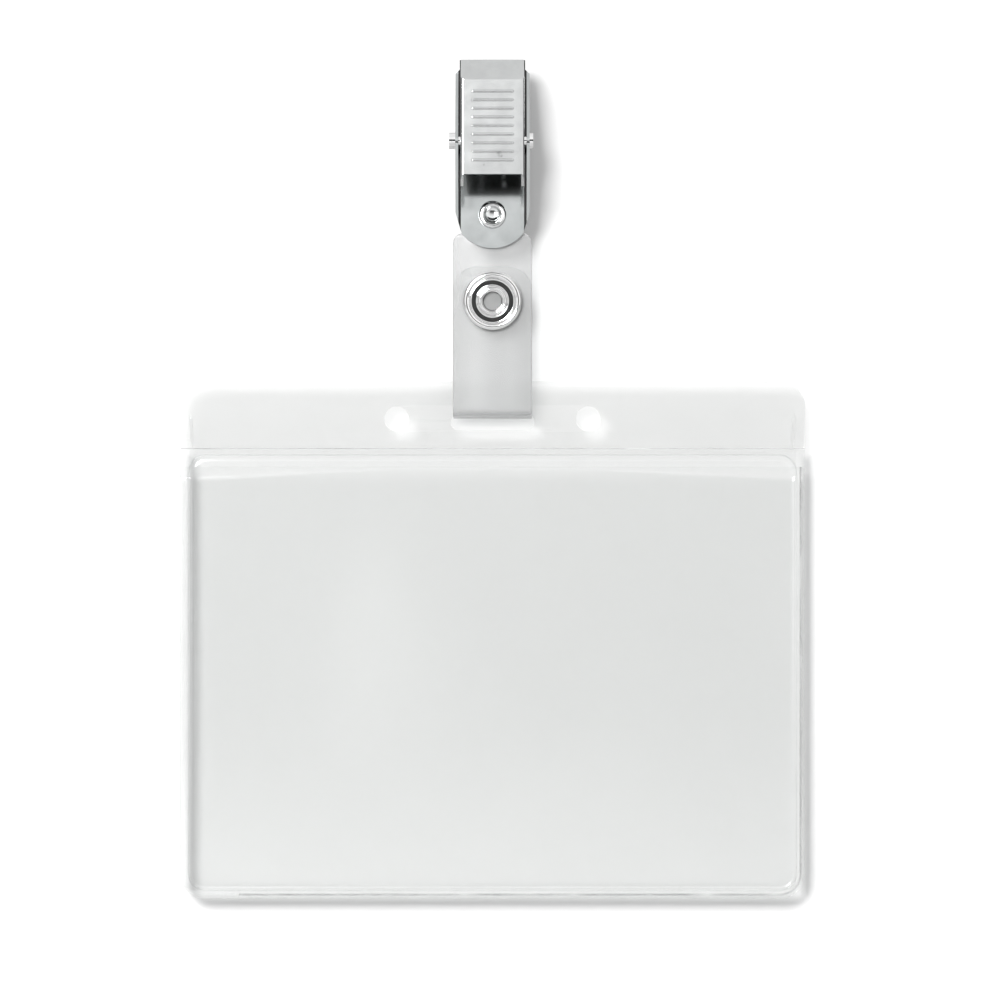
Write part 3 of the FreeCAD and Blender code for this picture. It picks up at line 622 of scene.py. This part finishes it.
def makeBack():
    outline = roundedLoop(backLow.x, backHigh.x, backLow.z, backHigh.z, pocket["outerRadius"],
                          header["cornerRadius"])
    x1, z0 = backHigh.x - rearPanel["inset"], backLow.z + rearPanel["inset"]
    z1 = headerLow.z - rearPanel["topGap"]
    opening = closedLoop(rearPanel["overlap"], x1, z0, z1, rearPanel["radius"])
    rearFace = weldPlane + sheetThick
    loops = [outline, opening] + headerHoles()
    piece = punchedPlate("backSheet", loops, weldPlane, rearFace, header["edgeRadius"])
    verts, faces, rings = [], [], {1: [], 0: []}
    for outside in (1, 0):
        for inset, share in rearPanel["steps"]:
            opened = max(0.0, inset - rearPanel["openFrom"]) * rearPanel["opening"] * mm
            radius = max(rearPanel["radius"] - inset * mm, rearPanel["leastRadius"]) + opened
            radius = min(radius, (z1 - z0) / 2 - inset * mm - 0.2 * mm)
            ring = []
            for x, z in densified(closedLoop(inset * mm, x1, z0, z1, radius)):
                crown = math.cos(math.pi * x / (2 * x1)) * math.sin(math.pi * (z - z0) / (z1 - z0))
                puff = rearPanel["puff"] * crown * min(1.0, inset / rearPanel["puffReach"])
                y = rearFace + share * rearPanel["rise"] + puff
                ring.append(len(verts))
                verts.append((x, y - (0 if outside else sheetThick), z))
            rings[outside].append(ring)
    for outside in (1, 0):
        for outer, nested in zip(rings[outside], rings[outside][1:]):
            count = len(outer)
            for i in range(count):
                faces.append((outer[i], outer[(i + 1) % count], nested[(i + 1) % count], nested[i]))
        faces.append(tuple(rings[outside][-1]))
    outerRim, innerRim = rings[1][0], rings[0][0]
    for i in range(len(outerRim)):
        after = (i + 1) % len(outerRim)
        faces.append((outerRim[i], outerRim[after], innerRim[after], innerRim[i]))
    panel = makeObject("backPanel", verts, faces)
    finishSheet(panel)
    cutAt(piece, (0, 0, headerLow.z), (0, 0, 1))
    cutAt(piece, (0, 0, z1 - rearPanel["overlap"]), (0, 0, 1))
    for side in (-1, 1):
        cutAt(piece, (side * (backHigh.x - weldWidth), 0, 0), (1, 0, 0))
    joinInto(piece, [panel])
    setMaterial(piece, headerVinyl, rearVinyl, lambda point: point.z < headerLow.z and not inWeld(point))
    piece.data.materials.append(weldVinyl)
    for face in piece.data.polygons:
        if inWeld(face.center):
            face.material_index = 2
    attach(piece, "holder")
    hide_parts("back_sheet")


def densified(loop, parts=12):
    # the long sides get points of their own
    points = []
    for index, (x, z) in enumerate(loop):
        nextX, nextZ = loop[(index + 1) % len(loop)]
        points.append((x, z))
        if (index + 1) % (rearPanel["cornerSteps"] + 1) == 0:
            points += evenPoints((x, z), (nextX, nextZ), parts)[1:-1]
    return points


makeBack()
print("rear sheet ready")


# the strap is one strip, cut at the fold where the tail begins
strap = {"edge": 0.16 * mm, "shoulder": 1.6 * mm, "neckCorner": 3.0 * mm, "tailCorner": 4.0 * mm,
         "foldRadius": 1.5 * mm, "flexReach": 4.5 * mm, "shoulderRise": 3.1 * mm, "topHalf": 2.0 * mm,
         "fineStep": 0.2 * mm, "step": 0.5 * mm, "fineFrom": 3.1 * mm, "tailStep": 0.25 * mm,
         "tailTip": 0.3 * mm, "flexAbove": 0.42, "flexBelow": 0.6, "hingeBelow": 0.4 * mm,
         "hingeAbove": 2.2 * mm}


def stripMesh(name, stations):
    # stations hold the middle (y, z), the direction across the thickness and the half width
    verts, faces, ringCount = [], [], 8
    half, edge = strapThick / 2, strap["edge"]
    for y, z, (ny, nz), width in stations:
        section = [(width - edge, half), (width, half - edge), (width, edge - half), (width - edge, -half),
                   (edge - width, -half), (-width, edge - half), (-width, half - edge), (edge - width, half)]
        for u, v in section:
            verts.append((u, y + ny * v, z + nz * v))
    for index in range(len(stations) - 1):
        for step in range(ringCount):
            a, b = index * ringCount + step, index * ringCount + (step + 1) % ringCount
            faces.append((a, b, b + ringCount, a + ringCount))
    faces.append(tuple(range(ringCount)))
    faces.append(tuple(range(len(verts) - ringCount, len(verts))))
    piece = makeObject(name, verts, faces, smooth=False)
    finishSheet(piece)
    piece.data.shade_smooth()
    piece.data.set_sharp_from_angle(angle=math.radians(50))
    return piece


def neckWidth(z):
    half = (neckHigh.x - neckLow.x) / 2
    neckHalf = half - strap["shoulder"] - 0.05 * mm
    shoulderLow = joints["strap_flex"]["pos_m"][2] + strap["shoulderRise"]
    if z <= shoulderLow:
        return half
    if z <= shoulderLow + strap["shoulder"]:
        return neckHalf + math.sqrt(max(0.0, strap["shoulder"] ** 2 - (z - shoulderLow) ** 2))
    corner = strap["neckCorner"]
    above = z - (neckHigh.z - corner)
    if above > 0:
        return neckHalf - corner + math.sqrt(max(0.0, corner ** 2 - above ** 2))
    return neckHalf


def makeStrapFront():
    foldZ = frontLow.z + strap["foldRadius"] + strapThick / 2
    fineEnd = joints["strap_flex"]["pos_m"][2] + strap["fineFrom"]
    stations, z = [], neckHigh.z
    while z > foldZ:
        width = max(neckWidth(z), strap["topHalf"])
        stations.append((strapMid, z, (1, 0), width))
        z -= strap["fineStep"] if z > fineEnd else strap["step"]
    for step in range(17):
        angle = math.radians(180 + 180 * step / 16)
        ny, nz = -math.cos(angle), -math.sin(angle)
        y = (strapMid + tailMid) / 2 + strap["foldRadius"] * math.cos(angle)
        stations.append((y, foldZ + strap["foldRadius"] * math.sin(angle), (ny, nz), neckWidth(-1)))
    piece = stripMesh("strapFront", stations)
    setMaterial(piece, strapVinyl)
    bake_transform(piece)
    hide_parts("strap_neck", "strap_front")


def makeStrapTail():
    foldZ = frontLow.z + strap["foldRadius"] + strapThick / 2
    half, corner = (tailHigh.x - tailLow.x) / 2, strap["tailCorner"]
    stations, z = [], foldZ
    while z < tailHigh.z:
        above = z - (tailHigh.z - corner)
        width = half if above <= 0 else half - corner + math.sqrt(max(0.0, corner ** 2 - above ** 2))
        stations.append((tailMid, z, (1, 0), width))
        z += strap["tailStep"]
    stations.append((tailMid, tailHigh.z, (1, 0), half - corner + strap["tailTip"]))
    piece = stripMesh("strapTail", stations)
    setMaterial(piece, strapVinyl)
    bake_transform(piece)
    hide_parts("strap_tail")


makeStrapFront()
makeStrapTail()
print("strap ready")


# turned metal: profiles of radius and depth in millimetres, spun about an axis front to back
def makeTurned(name, profile, node, material, body):
    low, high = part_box(node)
    middle, count = (low + high) / 2, 96
    verts, faces = [], []
    for radius, y in profile:
        for step in range(count):
            angle = 2 * math.pi * step / count
            verts.append((middle.x + radius * mm * math.cos(angle), low.y + y * mm,
                          middle.z + radius * mm * math.sin(angle)))
    for row in range(len(profile) - 1):
        for step in range(count):
            a, b = row * count + step, row * count + (step + 1) % count
            faces.append((a, b, b + count, a + count))
    piece = makeObject(name, verts, faces, smooth=False)
    finishSheet(piece)
    piece.data.shade_smooth()
    piece.data.set_sharp_from_angle(angle=math.radians(38))
    setMaterial(piece, material)
    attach(piece, body)
    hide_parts(node)


# depths run back from the piece's front: dished bore, rolled curl, shank and rear head
rivetProfile = [(0, 0.88), (0.45, 0.87), (0.8, 0.82), (1.08, 0.7), (1.24, 0.52), (1.32, 0.36), (1.4, 0.2),
                (1.52, 0.08), (1.68, 0.01), (1.82, 0), (2.0, 0.05), (2.15, 0.14), (2.26, 0.28), (2.3, 0.42),
                (2.3, 0.5), (1.7, 0.5), (1.7, 1.6), (3.0, 1.6), (3.0, 1.72), (2.92, 1.84), (2.7, 1.95),
                (2.2, 2.07), (1.4, 2.13), (0, 2.15)]
# post floor, bore, turned lip, skirt, trough and rolled rim, with close points where a flat ends
eyeletProfile = [(0, 1.42), (0.8, 1.42), (1.46, 1.42), (1.52, 1.42), (1.6, 1.38), (1.66, 1.25), (1.7, 1.0),
                 (1.73, 0.6), (1.77, 0.3), (1.84, 0.12), (1.94, 0.03), (2.06, 0), (2.17, 0.03), (2.28, 0.12),
                 (2.38, 0.28), (2.46, 0.5), (2.52, 0.75), (2.58, 0.95), (2.66, 1.06), (2.74, 1.1), (2.8, 1.1),
                 (3.5, 1.1), (3.56, 1.1), (3.66, 1.05), (3.74, 0.92), (3.8, 0.68), (3.9, 0.44), (4.1, 0.27),
                 (4.35, 0.2), (4.6, 0.26), (4.79, 0.42), (4.89, 0.66), (4.88, 0.92), (4.76, 1.14),
                 (4.56, 1.27), (4.35, 1.3), (1.5, 1.3), (1.5, 1.8), (0, 1.8)]
makeTurned("clipRivet", rivetProfile, "clip_rivet", rivetNickel, "clip")
makeTurned("snapEyelet", eyeletProfile, "snap_eyelet", brightNickel, "strap")
print("rivet and eyelet ready")


# the clip spring is a wound wire from the body's leg round the pin to the lever's leg
spring = {"wire": 0.32 * mm, "coil": 1.35 * mm, "pitch": 0.72 * mm, "fullTurns": 4, "blendReach": 1.6 * mm,
          "bodyLeg": (0.86, -18.9), "leverLeg": (-5.92, -18.2)}


def touchAngle(point, side):
    pin = joints["lever_press"]["pos_m"]
    dy, dz = point[0] * mm - pin[1], point[1] * mm - pin[2]
    return math.atan2(dz, dy) + side * math.acos(spring["coil"] / math.hypot(dy, dz))


def springPath():
    pin = joints["lever_press"]["pos_m"]
    start, finish = touchAngle(spring["bodyLeg"], 1), touchAngle(spring["leverLeg"], -1)
    total = (finish - start) % (2 * math.pi) + 2 * math.pi * spring["fullTurns"]
    width = total / (2 * math.pi) * spring["pitch"]
    points = []
    steps = int(total / (2 * math.pi) * 20)
    for i in range(steps + 1):
        angle = start + total * i / steps
        points.append(Vector((-width / 2 + width * i / steps, pin[1] + spring["coil"] * math.cos(angle),
                              pin[2] + spring["coil"] * math.sin(angle))))
    first = Vector((points[0].x - 0.5 * mm, spring["bodyLeg"][0] * mm, spring["bodyLeg"][1] * mm))
    last = Vector((points[-1].x + 0.4 * mm, spring["leverLeg"][0] * mm, spring["leverLeg"][1] * mm))
    legStart = [first.lerp(points[0], i / 8) for i in range(8)]
    legEnd = [points[-1].lerp(last, i / 8) for i in range(1, 9)]
    return legStart + points + legEnd


def tubeMesh(name, path, radius, ringCount=10):
    verts, faces = [], []
    side = Vector((1, 0, 0))
    for index, point in enumerate(path):
        along = (path[min(index + 1, len(path) - 1)] - path[max(index - 1, 0)]).normalized()
        side = (side - along * side.dot(along)).normalized()
        up = along.cross(side)
        for step in range(ringCount):
            angle = 2 * math.pi * step / ringCount
            verts.append(point + side * radius * math.cos(angle) + up * radius * math.sin(angle))
    for index in range(len(path) - 1):
        for step in range(ringCount):
            a, b = index * ringCount + step, index * ringCount + (step + 1) % ringCount
            faces.append((a, b, b + ringCount, a + ringCount))
    faces.append(tuple(range(ringCount))[::-1])
    faces.append(tuple(range(len(verts) - ringCount, len(verts))))
    return makeObject(name, verts, faces)


def makeSpring():
    piece = tubeMesh("clipSpring", springPath(), spring["wire"])
    finishSheet(piece)
    setMaterial(piece, springSteel)
    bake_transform(piece)
    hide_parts("clip_spring")


makeSpring()
print("spring ready")


# stage, light and camera
stage = {"wallGap": 0.9 * mm, "floorDrop": 60 * mm, "view": 167.8 * mm, "distance": 0.9,
         "aim": (1.26 * mm, -73.66 * mm), "wallPaint": 0.62, "floorPaint": 0.5,
         "wallSpan": 0.45, "floorHalf": 1.6, "floorFront": -1.7, "floorRear": 0.3}


def makeStage():
    # a wall close behind that only the camera sees, clear from its rear side, and a floor below
    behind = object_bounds()[1][1] + stage["wallGap"]
    span, wide, near, far = stage["wallSpan"], stage["floorHalf"], stage["floorFront"], stage["floorRear"]
    wall = makeObject("wall", [(-span, behind, -span), (span, behind, -span), (span, behind, span),
                               (-span, behind, span)], [(0, 1, 2, 3)])
    wall.visible_diffuse = False
    wall.visible_glossy = False
    wall.visible_shadow = False
    floorZ = backLow.z - stage["floorDrop"]
    floor = makeObject("floor", [(-wide, near, floorZ), (wide, near, floorZ), (wide, far, floorZ),
                                 (-wide, far, floorZ)], [(0, 1, 2, 3)])
    for piece in (wall, floor):
        material, tree, shader, output = newMaterial(piece.name)
        paint = stage["wallPaint"] if piece is wall else stage["floorPaint"]
        shader.inputs["Base Color"].default_value = (paint, paint, paint, 1)
        shader.inputs["Roughness"].default_value = 0.9
        shader.inputs["Specular IOR Level"].default_value = 0.0
        if piece is wall:
            facing = tree.nodes.new("ShaderNodeNewGeometry")
            clear = tree.nodes.new("ShaderNodeBsdfTransparent")
            mix = tree.nodes.new("ShaderNodeMixShader")
            tree.links.new(facing.outputs["Backfacing"], mix.inputs["Fac"])
            tree.links.new(shader.outputs["BSDF"], mix.inputs[1])
            tree.links.new(clear.outputs["BSDF"], mix.inputs[2])
            tree.links.new(mix.outputs["Shader"], output.inputs["Surface"])
        else:
            tree.links.new(shader.outputs["BSDF"], output.inputs["Surface"])
        setMaterial(piece, material)


lights = {
    "key": {"place": (-0.39, -1.1, 0.38), "target": (0, 0, -0.07), "size": (0.42, 0.42), "power": 20},
    "glow": {"place": (-0.045, -0.9, -0.124), "target": (-0.022, 0, -0.1), "size": (0.02, 0.07),
             "power": 0.008},       # a soft sheen on the window
    "rear": {"place": (0.3, 0.8, 0.3), "target": (0, 0, -0.07), "size": (0.5, 0.5), "power": 2.5}}


def makeLight(name, place, target, size, power):
    light = bpy.data.lights.new(name, "AREA")
    light.shape = "RECTANGLE"
    light.size, light.size_y = size
    light.energy = power
    lamp = bpy.data.objects.new(name, light)
    lamp.location = place
    lamp.rotation_euler = (Vector(target) - Vector(place)).to_track_quat("-Z", "Y").to_euler()
    lamp.visible_camera = False
    scene.collection.objects.link(lamp)


# tones run from straight behind, 0, to straight ahead, 1
studio = {
    "tones": [(0.0, 0.4), (1.0, 0.05), (0.25, 0.36), (0.34, 0.2), (0.5, 0.22), (0.57, 0.4), (0.66, 1.15),
              (0.93, 1.2), (0.965, 1.0), (0.985, 0.2)],
    "footingTone": 0.12, "footingFrom": -0.35, "footingSlope": 4.0,
    "ceilingTone": 1.0, "ceilingFrom": 0.6, "ceilingSlope": 5.0, "backdrop": 1.0}


def makeWorld():
    # a studio for the plating to mirror: pale screens all round the front, dark right ahead and edge on
    world = bpy.data.worlds.new("studio")
    scene.world = world
    world.use_nodes = True
    tree = world.node_tree
    tree.nodes.clear()
    coord = tree.nodes.new("ShaderNodeTexCoord")
    split = tree.nodes.new("ShaderNodeSeparateXYZ")
    tree.links.new(coord.outputs["Generated"], split.inputs[0])
    ramp = tree.nodes.new("ShaderNodeValToRGB")
    ahead = mathNode(tree, "ADD", mathNode(tree, "MULTIPLY", split.outputs["Y"], -0.5), 0.5)
    tree.links.new(ahead, ramp.inputs["Fac"])
    for index, (position, tone) in enumerate(studio["tones"]):
        if index < 2:
            element = ramp.color_ramp.elements[index]
            element.position = position
        else:
            element = ramp.color_ramp.elements.new(position)
        element.color = (tone, tone, tone, 1)
    below = mathNode(tree, "SUBTRACT", studio["footingFrom"], split.outputs["Z"])
    footing = mathNode(tree, "MULTIPLY", below, studio["footingSlope"])
    footing.node.use_clamp = True
    above = mathNode(tree, "SUBTRACT", split.outputs["Z"], studio["ceilingFrom"])
    ceiling = mathNode(tree, "MULTIPLY", above, studio["ceilingSlope"])
    ceiling.node.use_clamp = True
    lightPath = tree.nodes.new("ShaderNodeLightPath")
    seen = ramp.outputs["Color"]
    for factor, tone in ((footing, studio["footingTone"]), (ceiling, studio["ceilingTone"]),
                         (lightPath.outputs["Is Camera Ray"], studio["backdrop"])):
        mix = tree.nodes.new("ShaderNodeMix")
        mix.data_type = "RGBA"
        tree.links.new(factor, mix.inputs["Factor"])
        tree.links.new(seen, mix.inputs["A"])
        mix.inputs["B"].default_value = (tone, tone, tone, 1)
        seen = mix.outputs["Result"]
    background = tree.nodes.new("ShaderNodeBackground")
    tree.links.new(seen, background.inputs["Color"])
    output = tree.nodes.new("ShaderNodeOutputWorld")
    tree.links.new(background.outputs[0], output.inputs["Surface"])


def makeCamera():
    camera = bpy.data.cameras.new("camera")
    camera.sensor_width = 36
    camera.lens = 36 * stage["distance"] / stage["view"]
    camera.clip_start = 0.01
    eye = bpy.data.objects.new("camera", camera)
    eye.location = (stage["aim"][0], strapMid - stage["distance"], stage["aim"][1])
    eye.rotation_euler = (math.radians(90), 0, 0)
    scene.collection.objects.link(eye)
    scene.camera = eye


makeStage()
makeWorld()
for lightName, settings in lights.items():
    makeLight(lightName, **settings)
makeCamera()
scene.view_settings.view_transform = "Standard"
scene.cycles.transparent_max_bounces = 24      # a look through strap, header and tail crosses many faces
print("stage ready")
